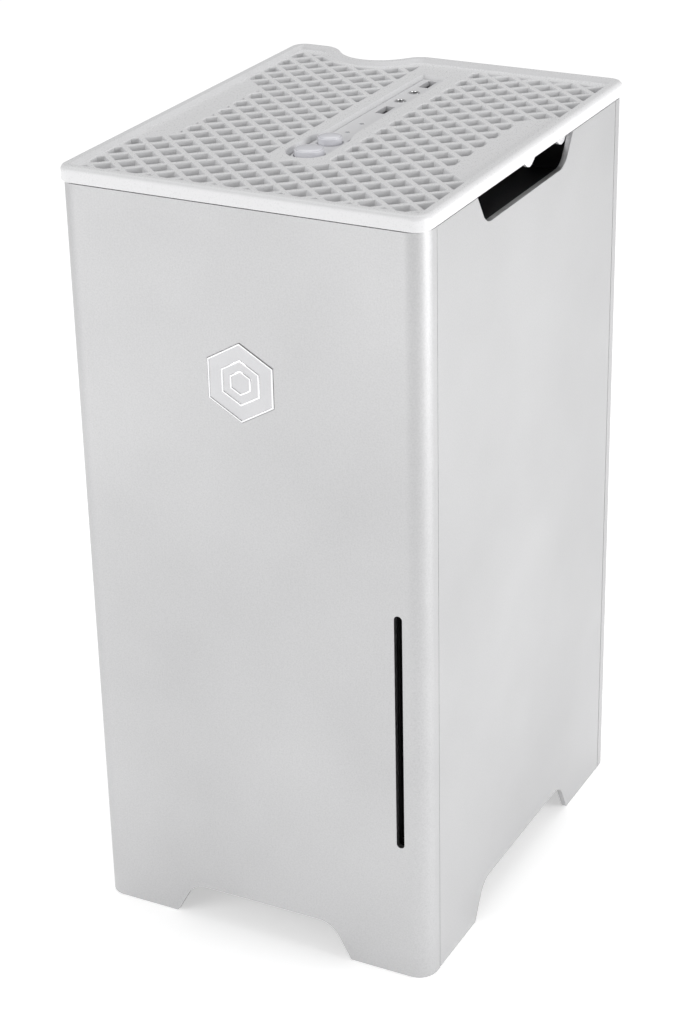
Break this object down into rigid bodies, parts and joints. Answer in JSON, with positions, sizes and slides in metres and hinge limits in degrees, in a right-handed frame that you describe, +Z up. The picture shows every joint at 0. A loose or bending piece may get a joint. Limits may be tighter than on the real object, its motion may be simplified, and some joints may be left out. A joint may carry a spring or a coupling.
{
  "type": "desktop computer tower",
  "caption": "Compact upright desktop computer tower with aluminium skins, a hexagonal badge, a slot for discs and a lift-off white lattice cover over upward-facing ports.",
  "frame": {"origin": "on the floor under the middle of the tower", "axes": "+X right seen from the front, +Y towards the back, +Z up"},
  "size_m": [0.188, 0.238, 0.397],
  "materials": {
    "anodised": "fine bead-blasted, clear anodised",
    "white_plastic": "moulded, smooth semi-gloss white",
    "milky_plastic": "milky, glossy",
    "black_steel": "black powder coat",
    "black_plastic": "black moulded plastic",
    "black_rubber": "black soft rubber",
    "circuit_board": "green solder mask",
    "plain_steel": "plated sheet steel",
    "bare_aluminium": "bare extruded aluminium",
    "polished": "polished",
    "light_pipe": "clear light pipe, unlit"
  },
  "bodies": {
    "chassis": {"front_panel": "anodised", "rear_panel": "anodised", "front_badge": "polished", "port_bezel": "white_plastic", "port_board": "circuit_board", "port_tray": "black_steel", "usb_socket_1": "polished", "usb_socket_2": "polished", "headphone_jack": "polished", "microphone_jack": "polished", "power_light": "light_pipe", "drive_light": "light_pipe", "power_switch": "black_plastic", "reset_switch": "black_plastic", "chassis_front": "black_steel", "chassis_rear": "black_steel", "chassis_floor": "black_steel", "board_tray": "black_steel", "left_grip_cup": "black_plastic", "right_grip_cup": "black_plastic", "foot_front_left": "black_rubber", "foot_front_right": "black_rubber", "foot_rear_left": "black_rubber", "foot_rear_right": "black_rubber", "bottom_fan_frame": "black_plastic", "main_board": "circuit_board", "network_ports": "plain_steel", "display_port": "plain_steel", "audio_ports": "plain_steel", "port_shield": "plain_steel", "processor": "plain_steel", "processor_cooler": "bare_aluminium", "processor_fan_frame": "black_plastic", "memory_1": "circuit_board", "memory_2": "circuit_board", "graphics_card": "circuit_board", "graphics_cooler": "black_plastic", "graphics_bracket": "plain_steel", "deck": "black_steel", "mains_inlet": "black_plastic", "power_supply": "plain_steel", "supply_lead": "black_rubber", "disc_drive": "plain_steel", "disc_drive_bracket": "black_steel", "drive_bracket": "black_steel", "hard_drive": "bare_aluminium", "solid_state_drive": "black_plastic"},
    "cover": {"top_cover": "white_plastic"},
    "left_panel": {"left_side_panel": "anodised"},
    "right_panel": {"right_side_panel": "anodised"},
    "power_key": {"power_button": "milky_plastic"},
    "reset_key": {"reset_button": "milky_plastic"},
    "bottom_rotor": {"bottom_fan_rotor": "black_plastic"},
    "processor_rotor": {"processor_fan_rotor": "black_plastic"},
    "graphics_rotor": {"graphics_fan": "black_plastic"},
    "supply_rotor": {"supply_fan": "black_plastic"},
    "supply_switch": {"supply_rocker": "black_plastic"},
    "filter": {"dust_filter": "black_plastic"}
  },
  "joints": [
    {"name": "cover_lift", "type": "slide", "parent": "chassis", "child": "cover", "axis": [0, 0, 1], "range_m": [0, 0.08]},
    {"name": "left_panel_pull", "type": "slide", "parent": "chassis", "child": "left_panel", "axis": [-1, 0, 0], "range_m": [0, 0.12]},
    {"name": "right_panel_pull", "type": "slide", "parent": "chassis", "child": "right_panel", "axis": [1, 0, 0], "range_m": [0, 0.12]},
    {"name": "power_press", "type": "slide", "parent": "chassis", "child": "power_key", "axis": [0, 0, -1], "range_m": [0, 0.0012], "stiffness_N_per_m": 1500, "springref_m": -0.0003},
    {"name": "reset_press", "type": "slide", "parent": "chassis", "child": "reset_key", "axis": [0, 0, -1], "range_m": [0, 0.0012], "stiffness_N_per_m": 1500, "springref_m": -0.0003},
    {"name": "bottom_fan_spin", "type": "hinge", "parent": "chassis", "child": "bottom_rotor", "pos_m": [0, 0, 0.03], "axis": [0, 0, 1], "continuous": true},
    {"name": "processor_fan_spin", "type": "hinge", "parent": "chassis", "child": "processor_rotor", "pos_m": [-0.02, 0.029, 0.223], "axis": [1, 0, 0], "continuous": true},
    {"name": "graphics_fan_spin", "type": "hinge", "parent": "chassis", "child": "graphics_rotor", "pos_m": [-0.0167, -0.09, 0.225], "axis": [0, -1, 0], "continuous": true},
    {"name": "supply_fan_spin", "type": "hinge", "parent": "chassis", "child": "supply_rotor", "pos_m": [0, 0.056, 0.112], "axis": [0, -1, 0], "continuous": true},
    {"name": "supply_switch_rock", "type": "hinge", "parent": "chassis", "child": "supply_switch", "pos_m": [-0.036, 0.08, 0.1615], "axis": [0, 1, 0], "range_deg": [-8, 8]},
    {"name": "filter_drop", "type": "slide", "parent": "chassis", "child": "filter", "axis": [0, 0, -1], "range_m": [0, 0.014]}
  ]
}
